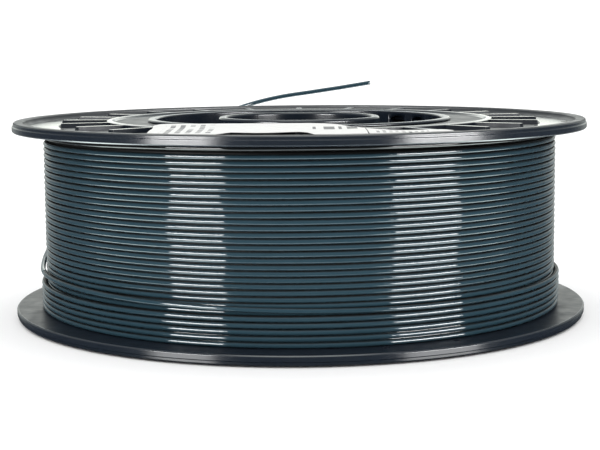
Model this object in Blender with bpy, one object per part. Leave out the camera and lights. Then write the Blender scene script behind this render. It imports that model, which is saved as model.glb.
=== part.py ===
"""A 1.75 mm filament spool, lying on one flange.

Two moulded flanges are snapped onto a winding barrel. A hub in two plug-together halves sits inside
the barrel and carries the bore that the spool turns on. One strand of filament is wound between the
flanges. Its last turns form a short extra layer at the bottom, and its end climbs the back of the
winding and springs out over the upper rim. Two paper labels are stuck on the upper flange.

Sizes are in millimetres and are turned into metres when a mesh is made. The spool's axis is Z, its
lower end is at z = 0, and +Y is the back. An angle in plan is measured from +Y towards +X.
"""
import math

import bmesh
import bpy
from mathutils import Matrix, Vector

MM = 0.001                # metres in a millimetre
GAP = 0.3                 # clearance between two pieces that touch

# Driving dimensions of the whole spool
WIDTH = 68.5              # overall, from hub end to hub end
FLANGE_R = 100.0
BORE_R = 26.0             # the bore that turns on a holder's spindle
BARREL_R = 54.3           # surface that the filament is wound on
STRAND_D = 1.75
TURN_PITCH = 1.93         # distance between neighbouring turns
LAST_TURNS = 6            # turns in the incomplete outermost layer
WOUND_R = 89.5            # outer radius of the last complete layer

# Depths of the flange's surfaces below the spool's end plane
RIM_DEPTH = 0.5
RIM_THICKNESS = 3.3
RIB_DEPTH = 0.8
WEB_DEPTH = 1.4
FLOOR_DEPTH = 2.3
INNER_FACE_DEPTH = RIM_DEPTH + RIM_THICKNESS

# Radii of the flange's rings
FLANGE_HOLE_R = 52.5
RING_IN_R = 64.7
RING_OUT_R = 67.5
RIB_END_R = 83.8
FLOOR_OUT_R = 95.4
RIM_IN_R = 96.2

RIB_COUNT = 24
RIB_HALF_ANGLE = math.radians(0.95)
STRAND_HOLE_R = 1.2       # small holes that hold the filament's end in storage
STRAND_HOLE_AT_R = 92.6
UPPER_HOLE_ANGLES = (80, 95)
LOWER_HOLE_ANGLES = (149, 164)

# The barrel
BARREL_IN_R = 50.3
BARREL_NECK_R = 52.2
BARREL_LIP_R = 53.2
BARREL_END_DEPTH = 0.3
LEDGE_R = 48.3
LEDGE_THICKNESS = 2.2
ANCHOR_ANGLES = (47.5, 61.0, 75.0)
ANCHOR_WIDTH = 7.4
ANCHOR_DEPTHS = (2.0, 6.5)

# The two hub halves
HUB_OUT_R = 28.4
HUB_WEB_THICKNESS = 2.2
HUB_WEB_R = BARREL_IN_R - GAP
SPIGOT_R = 27.0
SPIGOT_LENGTH = 1.6
SPOKES = 6
SPOKE_WIDTH = 5.0
SPOKE_WINDOW_RADII = (31.5, 46.5)

# The paper labels: plan positions of the corners, on the front of the upper flange
PAPER = 0.2
LABEL_OUT_R = 94.3
LABEL_LEFT = -46.0
LABEL_SPLIT = 20.5
LABEL_RIGHT = 46.0
LABEL_CORNER_R = 6.0

BLACK = (0.012, 0.014, 0.017)
TEAL = (0.012, 0.045, 0.062)
WHITE = (0.85, 0.85, 0.83)


def clear_scene():
    for obj in list(bpy.data.objects):
        bpy.data.objects.remove(obj, do_unlink=True)


def make_material(name, colour, roughness):
    material = bpy.data.materials.new(name)
    material.use_nodes = True
    shader = material.node_tree.nodes["Principled BSDF"]
    shader.inputs["Base Color"].default_value = (*colour, 1.0)
    shader.inputs["Roughness"].default_value = roughness
    shader.inputs["Metallic"].default_value = 0.0
    material.diffuse_color = (*colour, 1.0)
    return material


def plan_point(radius, degrees, z):
    """A point at a radius and an angle from the back, in millimetres."""
    angle = math.radians(degrees)
    return Vector((radius * math.sin(angle), radius * math.cos(angle), z))


def finish_object(name, bm, material):
    """Turn a bmesh in millimetres into an object in metres, with its faces pointing out."""
    bmesh.ops.remove_doubles(bm, verts=bm.verts, dist=0.001)
    bmesh.ops.recalc_face_normals(bm, faces=bm.faces)
    bmesh.ops.scale(bm, vec=(MM, MM, MM), verts=bm.verts)
    mesh = bpy.data.meshes.new(name)
    bm.to_mesh(mesh)
    bm.free()
    mesh.materials.append(material)
    mesh.shade_smooth()
    mesh.set_sharp_from_angle(angle=math.radians(35))
    obj = bpy.data.objects.new(name, mesh)
    bpy.context.scene.collection.objects.link(obj)
    return obj


def join_columns(bm, columns):
    """Skin a closed loop of columns, each a closed loop of points, into a ring-shaped solid."""
    rings = [[bm.verts.new(point) for point in column] for column in columns]
    for here, there in zip(rings, rings[1:] + rings[:1]):
        for i in range(len(here)):
            j = (i + 1) % len(here)
            bm.faces.new((here[i], here[j], there[j], there[i]))


def turned(name, profile, segments, material):
    """A ring turned about Z from a closed profile of (radius, z) points."""
    bm = bmesh.new()
    columns = []
    for step in range(segments):
        degrees = 360.0 * step / segments
        columns.append([plan_point(radius, degrees, z) for radius, z in profile])
    join_columns(bm, columns)
    return finish_object(name, bm, material)


def cut(obj, cutter_meshes):
    """Cut closed shapes, each a bmesh in millimetres, out of an object."""
    combined = bpy.data.meshes.new(obj.name + "_cutter")
    joined = bmesh.new()
    for cutter in cutter_meshes:
        piece = bpy.data.meshes.new("piece")
        cutter.to_mesh(piece)
        cutter.free()
        joined.from_mesh(piece)
        bpy.data.meshes.remove(piece)
    bmesh.ops.recalc_face_normals(joined, faces=joined.faces)
    bmesh.ops.scale(joined, vec=(MM, MM, MM), verts=joined.verts)
    joined.to_mesh(combined)
    joined.free()
    cutter_object = bpy.data.objects.new(obj.name + "_cutter", combined)
    cutter_object.hide_render = True
    cutter_object.display_type = "WIRE"
    bpy.context.scene.collection.objects.link(cutter_object)
    modifier = obj.modifiers.new("cut", "BOOLEAN")
    modifier.operation = "DIFFERENCE"
    modifier.solver = "EXACT"
    modifier.object = cutter_object


def prism(outline, low, high, placement=None):
    """A bmesh prism: a plan outline of (x, y) points carried from z = low to z = high."""
    bm = bmesh.new()
    bottom = [bm.verts.new((x, y, low)) for x, y in outline]
    top = [bm.verts.new((x, y, high)) for x, y in outline]
    bm.faces.new(bottom[::-1])
    bm.faces.new(top)
    for i in range(len(outline)):
        j = (i + 1) % len(outline)
        bm.faces.new((bottom[i], bottom[j], top[j], top[i]))
    if placement is not None:
        bmesh.ops.transform(bm, matrix=placement, verts=bm.verts)
    return bm


def circle_outline(radius, centre, sides):
    points = []
    for step in range(sides):
        angle = 2.0 * math.pi * step / sides
        points.append((centre.x + radius * math.cos(angle), centre.y + radius * math.sin(angle)))
    return points


def flange_profile(on_rib):
    """The flange's section as (radius, depth) points, with or without a rib standing on its floor."""
    rib_top = RIB_DEPTH if on_rib else FLOOR_DEPTH
    return [
        (FLANGE_HOLE_R, INNER_FACE_DEPTH),
        (FLANGE_HOLE_R, WEB_DEPTH),
        (RING_IN_R, WEB_DEPTH),
        (RING_IN_R + 0.6, RIB_DEPTH),
        (RING_OUT_R, RIB_DEPTH),
        (RING_OUT_R, rib_top),
        (RIB_END_R, rib_top),
        (RIB_END_R, FLOOR_DEPTH),
        (FLOOR_OUT_R, FLOOR_DEPTH),
        (RIM_IN_R, RIM_DEPTH + 0.3),
        (RIM_IN_R + 0.4, RIM_DEPTH),
        (FLANGE_R - 0.8, RIM_DEPTH),
        (FLANGE_R - 0.4, RIM_DEPTH + 0.4),
        (FLANGE_R - 0.4, RIM_DEPTH + 1.2),
        (FLANGE_R, RIM_DEPTH + 1.4),
        (FLANGE_R, INNER_FACE_DEPTH - 0.4),
        (FLANGE_R - 0.4, INNER_FACE_DEPTH),
    ]


def flange_columns(height):
    """Columns round the flange; height turns a depth into a z. A rib's two flanks are upright."""
    plain = flange_profile(on_rib=False)
    raised = flange_profile(on_rib=True)
    spacing = 2.0 * math.pi / RIB_COUNT
    plain_span = spacing - 2.0 * RIB_HALF_ANGLE
    columns = []
    for rib in range(RIB_COUNT):
        centre = rib * spacing
        section = [
            (centre - RIB_HALF_ANGLE, plain),
            (centre - RIB_HALF_ANGLE, raised),
            (centre + RIB_HALF_ANGLE, raised),
            (centre + RIB_HALF_ANGLE, plain),
            (centre + RIB_HALF_ANGLE + plain_span / 3.0, plain),
            (centre + RIB_HALF_ANGLE + plain_span * 2.0 / 3.0, plain),
        ]
        for angle, profile in section:
            degrees = math.degrees(angle)
            columns.append([plan_point(radius, degrees, height(depth)) for radius, depth in profile])
    return columns


def make_flange(name, height, hole_angles, material):
    bm = bmesh.new()
    join_columns(bm, flange_columns(height))
    bmesh.ops.remove_doubles(bm, verts=bm.verts, dist=0.001)
    flange = finish_object(name, bm, material)
    low, high = sorted((height(0.0), height(INNER_FACE_DEPTH + 1.0)))
    holes = []
    for degrees in hole_angles:
        centre = plan_point(STRAND_HOLE_AT_R, degrees, 0.0)
        holes.append(prism(circle_outline(STRAND_HOLE_R, centre, 12), low, high))
    cut(flange, holes)


def barrel_end(height):
    """The barrel's outer side at one end, from the bore's edge to the winding surface."""
    return [
        (BARREL_IN_R, height(BARREL_END_DEPTH + 0.4)),
        (BARREL_IN_R + 0.4, height(BARREL_END_DEPTH)),
        (BARREL_LIP_R - 0.5, height(BARREL_END_DEPTH)),
        (BARREL_LIP_R, height(BARREL_END_DEPTH + 0.4)),
        (BARREL_LIP_R, height(WEB_DEPTH - GAP)),
        (BARREL_NECK_R, height(WEB_DEPTH - GAP)),
        (BARREL_NECK_R, height(INNER_FACE_DEPTH + GAP)),
        (BARREL_R, height(INNER_FACE_DEPTH + GAP)),
    ]


def anchor_cutter(degrees):
    """An arched slot through the barrel's wall, where the filament's first end is hooked."""
    half = ANCHOR_WIDTH / 2.0
    shallow, deep = ANCHOR_DEPTHS
    arch = [(-half, WIDTH - deep), (half, WIDTH - deep)]
    for step in range(5):
        angle = math.pi * step / 4.0
        arch.append((half * math.cos(angle), WIDTH - shallow - half * 0.5 * (1.0 - math.sin(angle))))
    # The outline is drawn in X and Y, stood up so that its Y becomes Z, and pushed out to the wall.
    stand_up = Matrix.Rotation(math.radians(90), 4, "X")
    turn = Matrix.Rotation(math.radians(-degrees), 4, "Z")
    return prism(arch, -(BARREL_R + 2.0), -(BARREL_IN_R - 1.2), turn @ stand_up)


def make_barrel(material):
    upper = barrel_end(height_upper)
    lower = barrel_end(height_lower)
    middle = WIDTH / 2.0
    ledge = [
        (BARREL_IN_R, middle - LEDGE_THICKNESS / 2.0),
        (LEDGE_R, middle - LEDGE_THICKNESS / 2.0),
        (LEDGE_R, middle + LEDGE_THICKNESS / 2.0),
        (BARREL_IN_R, middle + LEDGE_THICKNESS / 2.0),
    ]
    barrel = turned("core_barrel", upper + lower[::-1] + ledge, 72, material)
    cut(barrel, [anchor_cutter(degrees) for degrees in ANCHOR_ANGLES])


def hub_half_profile(height, is_socket):
    """One hub half's section. The lower half has the socket, the upper half the spigot."""
    middle = WIDTH / 2.0
    web_near = middle - LEDGE_THICKNESS / 2.0 - GAP
    web_far = web_near - HUB_WEB_THICKNESS
    meeting = middle - GAP / 2.0
    outside = [
        (BORE_R, height(0.6)),
        (BORE_R + 0.6, height(0.0)),
        (HUB_OUT_R - 0.6, height(0.0)),
        (HUB_OUT_R, height(0.6)),
        (HUB_OUT_R, height(web_far)),
        (HUB_WEB_R, height(web_far)),
        (HUB_WEB_R, height(web_near)),
        (HUB_OUT_R, height(web_near)),
        (HUB_OUT_R, height(meeting)),
    ]
    if is_socket:
        seat = [
            (SPIGOT_R + GAP, height(meeting)),
            (SPIGOT_R + GAP, height(meeting - SPIGOT_LENGTH - GAP)),
            (BORE_R, height(meeting - SPIGOT_LENGTH - GAP)),
        ]
    else:
        seat = [
            (SPIGOT_R, height(meeting)),
            (SPIGOT_R, height(meeting + SPIGOT_LENGTH)),
            (BORE_R, height(meeting + SPIGOT_LENGTH)),
        ]
    return outside + seat


def spoke_window(number):
    """The opening between two spokes, a wedge with both sides parallel to its spokes."""
    inner, outer = SPOKE_WINDOW_RADII
    sector = 360.0 / SPOKES
    middle = (number + 0.5) * sector
    outline = []
    for radius, direction in ((inner, 1), (outer, -1)):
        half = sector / 2.0 - math.degrees(math.asin(SPOKE_WIDTH / 2.0 / radius))
        for step in range(5):
            offset = half * (step / 2.0 - 1.0) * direction
            point = plan_point(radius, middle + offset, 0.0)
            outline.append((point.x, point.y))
    return prism(outline, WIDTH / 2.0 - 8.0, WIDTH / 2.0 + 8.0)


def make_hub_half(name, height, is_socket, material):
    half = turned(name, hub_half_profile(height, is_socket), 48, material)
    cut(half, [spoke_window(number) for number in range(SPOKES)])


def make_winding(material):
    """The wound filament: complete layers inside, the last complete layer, and the last turns."""
    low = INNER_FACE_DEPTH + GAP
    high = WIDTH - low
    layer_in_r = WOUND_R - STRAND_D
    layers = (
        ("filament_inner_layers", BARREL_R + GAP, layer_in_r - GAP, high),
        ("filament_outer_layer", layer_in_r, WOUND_R, high),
        ("filament_last_turns", WOUND_R + GAP, WOUND_R + 1.8, low + LAST_TURNS * TURN_PITCH),
    )
    for name, inner, outer, top in layers:
        turned(name, [(inner, low), (inner, top), (outer, top), (outer, low)], 72, material)


# The route of the filament's end, as (angle from the back, radius, z): off the last turn, up the back
# of the winding, out past the upper rim and away from it with the curl that the strand keeps.
END_ROUTE = (
    (-106.0, 90.7, 17.0),
    (-99.0, 90.7, 17.4),
    (-90.0, 90.7, 20.0),
    (-80.0, 90.7, 25.0),
    (-70.0, 90.9, 31.0),
    (-60.0, 91.8, 37.4),
    (-50.0, 93.4, 43.9),
    (-40.0, 95.8, 50.4),
    (-30.0, 98.8, 57.1),
    (-20.5, 101.9, 63.4),
    (-11.8, 104.6, 68.2),
    (-4.5, 106.7, 71.2),
    (3.0, 108.6, 73.2),
    (9.5, 110.6, 75.0),
    (15.5, 113.6, 76.9),
)


# The route of the filament's first end: in from the winding through the last anchor slot, then back
# along the inside of the barrel's wall, past the other two slots.
START_ROUTE = (
    (77.0, 54.2, 63.4),
    (76.7, 52.5, 63.4),
    (75.8, 50.8, 63.6),
    (74.0, 49.5, 64.0),
    (71.0, 48.9, 64.3),
    (66.0, 48.8, 64.4),
    (61.0, 48.8, 64.4),
)


def route_points(route, spacing):
    """Points every spacing millimetres along a smooth curve through a route's own points."""
    anchors = [plan_point(radius, degrees, z) for degrees, radius, z in route]
    ends = [2 * anchors[0] - anchors[1]] + anchors + [2 * anchors[-1] - anchors[-2]]
    fine = []
    for a, b, c, d in zip(ends, ends[1:], ends[2:], ends[3:]):
        for step in range(20):
            t = step / 20.0
            fine.append(0.5 * (2 * b + (c - a) * t + (2 * a - 5 * b + 4 * c - d) * t * t
                               + (3 * b - a - 3 * c + d) * t ** 3))
    fine.append(anchors[-1])
    points = [fine[0]]
    travelled = 0.0
    for before, after in zip(fine, fine[1:]):
        travelled += (after - before).length
        if travelled >= spacing:
            points.append(after)
            travelled = 0.0
    if travelled > spacing / 2.0:
        points.append(fine[-1])
    else:
        points[-1] = fine[-1]
    return points


def make_strand(name, route, spacing, material):
    """A bare stretch of the filament along its route, as a tube with flat ends."""
    curve = bpy.data.curves.new(name, "CURVE")
    curve.dimensions = "3D"
    curve.bevel_depth = STRAND_D / 2.0 * MM
    curve.bevel_resolution = 2
    curve.use_fill_caps = True
    curve.materials.append(material)
    spline = curve.splines.new("POLY")
    points = route_points(route, spacing)
    spline.points.add(len(points) - 1)
    for slot, point in zip(spline.points, points):
        slot.co = (*(point * MM), 1.0)
    obj = bpy.data.objects.new(name, curve)
    bpy.context.scene.collection.objects.link(obj)


def arc_points(radius, x_from, x_to, steps):
    """Points on the front of a circle about the spool's axis, from one x to another."""
    start = math.asin(x_from / radius)
    end = math.asin(x_to / radius)
    points = []
    for step in range(steps + 1):
        angle = start + (end - start) * step / steps
        points.append((radius * math.sin(angle), -radius * math.cos(angle)))
    return points


def product_label_outline():
    """The large label: a straight far edge, a rounded left corner and a notch in its outer edge."""
    outline = [(2.0, -55.0)]
    centre_x = LABEL_LEFT + LABEL_CORNER_R
    centre_y = -50.5 - LABEL_CORNER_R
    for step in range(6):
        angle = math.radians(90 + 90 * step / 5.0)
        outline.append((centre_x + LABEL_CORNER_R * math.cos(angle),
                        centre_y + LABEL_CORNER_R * math.sin(angle)))
    outline += arc_points(LABEL_OUT_R, LABEL_LEFT, -24.5, 4)
    outline += [(-20.5, -86.5), (0.5, -86.5)]
    outline += arc_points(LABEL_OUT_R, 4.5, LABEL_SPLIT - GAP, 3)
    outline += [(LABEL_SPLIT - GAP, -67.5), (17.0, -61.5), (12.0, -56.6)]
    return outline


def lot_sticker_outline():
    """The small sticker beside it, with a cut-off corner."""
    outline = [(LABEL_SPLIT, -69.0), (23.0, -72.0), (28.0, -77.0), (44.0, -77.5), (LABEL_RIGHT, -80.0)]
    return outline + arc_points(LABEL_OUT_R, LABEL_RIGHT, LABEL_SPLIT, 6)


def make_label(name, outline, material):
    low = WIDTH - RIB_DEPTH + GAP
    finish_object(name, prism(outline, low, low + PAPER), material)


def height_upper(depth):
    return WIDTH - depth


def height_lower(depth):
    return depth


def main():
    clear_scene()
    plastic = make_material("spool_plastic", BLACK, 0.28)
    filament = make_material("filament", TEAL, 0.22)
    paper = make_material("label_paper", WHITE, 0.6)
    make_flange("upper_flange", height_upper, UPPER_HOLE_ANGLES, plastic)
    make_flange("lower_flange", height_lower, LOWER_HOLE_ANGLES, plastic)
    make_barrel(plastic)
    make_hub_half("hub_upper_half", height_upper, False, plastic)
    make_hub_half("hub_lower_half", height_lower, True, plastic)
    make_winding(filament)
    make_strand("filament_free_end", END_ROUTE, STRAND_D * 2.5, filament)
    make_strand("filament_first_end", START_ROUTE, STRAND_D * 1.2, filament)
    make_label("product_label", product_label_outline(), paper)
    make_label("lot_sticker", lot_sticker_outline(), paper)


main()
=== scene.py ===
"""Looks of the filament spool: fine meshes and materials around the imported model.

Sizes are in millimetres and become metres when a mesh is made. The axis is Z, the lower end is at
z = 0 and +Y is the back. An angle in plan is measured from +Y towards +X. The main sizes are read from
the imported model, and the finer ones are named below.
"""
import math

import bmesh
import bpy
import numpy as np
from mathutils import Matrix, Vector, noise


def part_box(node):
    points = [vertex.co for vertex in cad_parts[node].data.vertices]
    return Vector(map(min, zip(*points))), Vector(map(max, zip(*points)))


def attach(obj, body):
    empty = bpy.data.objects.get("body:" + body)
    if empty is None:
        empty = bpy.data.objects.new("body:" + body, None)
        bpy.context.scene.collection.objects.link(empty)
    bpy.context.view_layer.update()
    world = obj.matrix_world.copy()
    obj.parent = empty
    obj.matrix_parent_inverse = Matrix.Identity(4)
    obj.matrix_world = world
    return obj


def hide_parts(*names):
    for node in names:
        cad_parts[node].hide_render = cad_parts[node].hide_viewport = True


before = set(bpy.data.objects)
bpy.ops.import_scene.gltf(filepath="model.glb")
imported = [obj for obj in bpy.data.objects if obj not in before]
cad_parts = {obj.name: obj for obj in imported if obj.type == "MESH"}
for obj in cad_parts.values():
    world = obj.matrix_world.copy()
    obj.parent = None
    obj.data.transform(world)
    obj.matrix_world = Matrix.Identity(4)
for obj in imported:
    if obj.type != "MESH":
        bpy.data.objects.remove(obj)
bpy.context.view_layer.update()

MM = 0.001

# Main sizes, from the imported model
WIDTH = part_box("hub_upper_half")[1].z / MM
FLANGE_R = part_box("upper_flange")[1].x / MM
RIM_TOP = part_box("upper_flange")[1].z / MM
INNER_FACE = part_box("upper_flange")[0].z / MM
BARREL_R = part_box("core_barrel")[1].x / MM
HUB_WEB_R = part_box("hub_upper_half")[1].x / MM
WOUND_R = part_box("filament_outer_layer")[1].x / MM
LABEL_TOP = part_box("product_label")[1].z / MM
RIM_DEPTH = WIDTH - RIM_TOP
INNER_FACE_DEPTH = WIDTH - INNER_FACE
GAP = 0.3

# The flange's surfaces, as radii and as depths below the spool's end plane
FLANGE_HOLE_R = 52.5
RING_IN_R = 64.7
RING_OUT_R = 67.5
RIB_END_R = 83.8
RIM_FOOT_R = 1.6
RIM_IN_R = 96.2
RIB_DEPTH = 0.8
WEB_DEPTH = 1.4
FLOOR_DEPTH = 2.3
RIB_COUNT = 24
STRAND_HOLE_R = 1.2                 # small holes that hold the filament's end in storage
STRAND_HOLE_AT_R = 92.6
UPPER_HOLE_ANGLES = (80, 95)
LOWER_HOLE_ANGLES = (149, 164)
RIB_MIDDLE_R = 76.0                 # where a rib's width is measured
RIB_HALF_WIDTH = 1.15
RIB_DRAFT = 0.12

# The barrel and the two hub halves
BORE_R = 26.0
BARREL_IN_R = 50.3
BARREL_NECK_R = 52.2
BARREL_LIP_R = 53.2
BARREL_END_DEPTH = 0.3
LEDGE_R = 48.3
LEDGE_THICKNESS = 2.2
ANCHOR_ANGLES = (47.5, 61.0, 75.0)
ANCHOR_WIDTH = 7.4
ANCHOR_DEPTHS = (2.0, 6.5)
HUB_OUT_R = 28.4
HUB_WEB_THICKNESS = 2.2
SPIGOT_R = 27.0
SPIGOT_LENGTH = 1.6
SPOKES = 6
SPOKE_WIDTH = 5.0
SPOKE_WINDOW_RADII = (31.5, 46.5)

# The labels
PAPER = 0.12
LABEL_SAG = 0.22
LABEL_LIFT = 0.70                  # at the far edge, which curls up over the barrel's end
LABEL_OUT_R = 94.3
LABEL_LEFT = -46.0
LABEL_SPLIT = 20.5
LABEL_RIGHT = 46.0
LABEL_CORNER_R = 6.0
LABEL_FAR_Y = -50.5
ROW_SHARE = 0.50                   # of a row of print's pitch that the dashes take up
BLANK_BELOW = 0.46                 # noise level under which a row is left blank between dashes

# The filament
STRAND_D = 1.75
STRAND_SIDES = 12
TURN_STEPS = 240

# The free end's route, as (angle from the back, radius, z), the same as in the CAD source
END_ROUTE = (
    (-106.0, 90.7, 17.0),
    (-99.0, 90.7, 17.4),
    (-90.0, 90.7, 20.0),
    (-80.0, 90.7, 25.0),
    (-70.0, 90.9, 31.0),
    (-60.0, 91.8, 37.4),
    (-50.0, 93.4, 43.9),
    (-40.0, 95.8, 50.4),
    (-30.0, 98.8, 57.1),
    (-20.5, 101.9, 63.4),
    (-11.8, 104.6, 68.2),
    (-4.5, 106.7, 71.2),
    (3.0, 108.6, 73.2),
    (9.5, 110.6, 75.0),
    (15.5, 113.6, 76.9),
)

# The route of the first end, hooked through the barrel's last slot
START_ROUTE = (
    (77.0, 54.2, 63.4),
    (76.7, 52.5, 63.4),
    (75.8, 50.8, 63.6),
    (74.0, 49.5, 64.0),
    (71.0, 48.9, 64.3),
    (66.0, 48.8, 64.4),
    (61.0, 48.8, 64.4),
)


# ---------------------------------------------------------------- camera

def make_camera():
    """The camera stands low in front of the spool and looks slightly down on it."""
    pitch = 0.126
    roll = -0.008
    forward = Vector((0.0, math.cos(pitch), -math.sin(pitch)))
    right = Vector((1.0, 0.0, 0.0))
    up = right.cross(forward)
    x_axis = math.cos(roll) * right + math.sin(roll) * up
    y_axis = -math.sin(roll) * right + math.cos(roll) * up
    data = bpy.data.cameras.new("camera")
    data.sensor_width = 36.0
    data.lens = 87.25
    data.clip_start = 0.01
    data.clip_end = 50.0
    camera = bpy.data.objects.new("camera", data)
    placement = Matrix((x_axis, y_axis, -forward)).transposed().to_4x4()
    placement.translation = Vector((0.0, -0.5153, 0.09487))
    camera.matrix_world = placement
    bpy.context.scene.collection.objects.link(camera)
    bpy.context.scene.camera = camera


# ---------------------------------------------------------------- mesh helpers

def plan_point(radius, degrees, z):
    """A point at a radius and an angle from the back, in millimetres."""
    angle = math.radians(degrees)
    return Vector((radius * math.sin(angle), radius * math.cos(angle), z))


def add_object(name, mesh, material, sharp_angle=35.0):
    mesh.materials.append(material)
    mesh.shade_smooth()
    mesh.set_sharp_from_angle(angle=math.radians(sharp_angle))
    obj = bpy.data.objects.new(name, mesh)
    bpy.context.scene.collection.objects.link(obj)
    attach(obj, "root")
    return obj


def mesh_from_arrays(name, points, faces):
    """A mesh in metres from points in millimetres, with its faces pointing out."""
    mesh = bpy.data.meshes.new(name)
    mesh.from_pydata((np.asarray(points) * MM).tolist(), [], faces)
    mesh.update()
    return mesh


def grid_faces(rows, columns, wrap_rows, wrap_columns):
    """Quads over a grid of points stored row by row."""
    faces = []
    for i in range(rows if wrap_rows else rows - 1):
        here = i * columns
        there = (i + 1) % rows * columns
        for j in range(columns if wrap_columns else columns - 1):
            k = (j + 1) % columns
            faces.append((here + j, here + k, there + k, there + j))
    return faces


def rounded(profile, radius=0.15, steps=3):
    """A closed (radius, z) profile with small round corners, and a support point beside each."""
    smooth = []
    count = len(profile)
    for i in range(count):
        corner = Vector(profile[i])
        before = Vector(profile[i - 1]) - corner
        after = Vector(profile[(i + 1) % count]) - corner
        turn = math.pi - before.angle(after)
        if turn < math.radians(12):
            smooth.append(tuple(corner))
            continue
        room = 0.4 * min(before.length, after.length)
        reach = min(radius * math.tan(turn / 2.0), room)
        support = min(reach * 0.5, room * 0.2)
        before.normalize()
        after.normalize()
        smooth.append(tuple(corner + before * (reach + support)))
        for step in range(steps + 1):
            t = step / steps
            point = corner + before * reach * (1.0 - t) ** 2 + after * reach * t ** 2
            smooth.append(tuple(point))
        smooth.append(tuple(corner + after * (reach + support)))
    return smooth


def turned_points(profile, segments):
    """Columns of points round Z from a (radius, z) profile."""
    radius = np.array([p[0] for p in profile])
    height = np.array([p[1] for p in profile])
    angle = 2.0 * math.pi * np.arange(segments) / segments
    x = np.outer(np.sin(angle), radius)
    y = np.outer(np.cos(angle), radius)
    z = np.broadcast_to(height, x.shape)
    return np.stack([x, y, z], -1).reshape(-1, 3)


def is_clockwise(profile):
    area = 0.0
    for (r0, z0), (r1, z1) in zip(profile, profile[1:] + profile[:1]):
        area += r0 * z1 - r1 * z0
    return area < 0.0


def turned(name, profile, segments, material, corner=0.15):
    """A ring turned about Z from a closed profile, with its small corners rounded."""
    if is_clockwise(profile):
        profile = profile[::-1]
    profile = rounded(profile, corner)
    faces = grid_faces(segments, len(profile), True, True)
    mesh = mesh_from_arrays(name, turned_points(profile, segments), faces)
    return add_object(name, mesh, material)


def tube_mesh(name, path, radius, sides, bevel=0.12):
    """A tube along a path of points, in millimetres, with slightly bevelled flat ends."""
    path = np.asarray(path, float)
    along = np.gradient(path, axis=0)
    along /= np.linalg.norm(along, axis=1)[:, None]
    up = np.array([0.0, 0.0, 1.0]) - along * along[:, 2:3]
    up /= np.linalg.norm(up, axis=1)[:, None]
    side = np.cross(along, up)
    angle = 2.0 * math.pi * np.arange(sides) / sides
    ring = radius * (np.cos(angle)[None, :, None] * side[:, None, :]
                     + np.sin(angle)[None, :, None] * up[:, None, :])
    rings = path[:, None, :] + ring
    first = path[0] - along[0] * bevel + ring[0] * (1.0 - bevel / radius)
    last = path[-1] + along[-1] * bevel + ring[-1] * (1.0 - bevel / radius)
    points = np.concatenate([first[None], rings, last[None]]).reshape(-1, 3)
    rows = len(path) + 2
    faces = [face[::-1] for face in grid_faces(rows, sides, False, True)]
    faces.append(tuple(range(sides)))
    faces.append(tuple(range((rows - 1) * sides, rows * sides))[::-1])
    return mesh_from_arrays(name, points, faces)


def smooth_route(anchors, spacing):
    """Points every spacing millimetres or so along a smooth curve through the anchors."""
    ends = [2 * anchors[0] - anchors[1]] + anchors + [2 * anchors[-1] - anchors[-2]]
    fine = []
    for a, b, c, d in zip(ends, ends[1:], ends[2:], ends[3:]):
        steps = max(2, round((c - b).length / spacing))
        for step in range(steps):
            t = step / steps
            fine.append(0.5 * (2 * b + (c - a) * t + (2 * a - 5 * b + 4 * c - d) * t * t
                               + (3 * b - a - 3 * c + d) * t ** 3))
    fine.append(anchors[-1])
    return fine


# ---------------------------------------------------------------- material helpers

def new_material(name, colour, roughness):
    """A Principled material; returns it with its nodes, links and shader."""
    material = bpy.data.materials.new(name)
    material.use_nodes = True
    nodes = material.node_tree.nodes
    links = material.node_tree.links
    shader = nodes["Principled BSDF"]
    shader.inputs["Base Color"].default_value = (*colour, 1.0)
    shader.inputs["Roughness"].default_value = roughness
    return material, nodes, links, shader


def object_position(nodes):
    return nodes.new("ShaderNodeTexCoord").outputs["Object"]


def noise_node(nodes, links, vector, scale, detail=2.0, roughness=0.5):
    node = nodes.new("ShaderNodeTexNoise")
    node.inputs["Scale"].default_value = scale
    node.inputs["Detail"].default_value = detail
    node.inputs["Roughness"].default_value = roughness
    links.new(vector, node.inputs["Vector"])
    return node.outputs["Fac"]


def map_range(nodes, links, value, source, target):
    node = nodes.new("ShaderNodeMapRange")
    node.inputs["From Min"].default_value = source[0]
    node.inputs["From Max"].default_value = source[1]
    node.inputs["To Min"].default_value = target[0]
    node.inputs["To Max"].default_value = target[1]
    links.new(value, node.inputs["Value"])
    return node.outputs["Result"]


def bump(nodes, links, height, strength, distance, normal=None):
    node = nodes.new("ShaderNodeBump")
    node.inputs["Strength"].default_value = strength
    node.inputs["Distance"].default_value = distance
    links.new(height, node.inputs["Height"])
    if normal is not None:
        links.new(normal, node.inputs["Normal"])
    return node.outputs["Normal"]


def mix_colour(nodes, links, factor, first, second):
    node = nodes.new("ShaderNodeMix")
    node.data_type = "RGBA"
    for socket, value in ((node.inputs[6], first), (node.inputs[7], second)):
        if isinstance(value, tuple):
            socket.default_value = (*value, 1.0)
        else:
            links.new(value, socket)
    links.new(factor, node.inputs[0])
    return node.outputs[2]


def math_node(nodes, links, operation, first, second=None):
    node = nodes.new("ShaderNodeMath")
    node.operation = operation
    for socket, value in zip(node.inputs, (first, second)):
        if value is None:
            continue
        if isinstance(value, (int, float)):
            socket.default_value = value
        else:
            links.new(value, socket)
    return node.outputs[0]


# ---------------------------------------------------------------- materials

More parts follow.
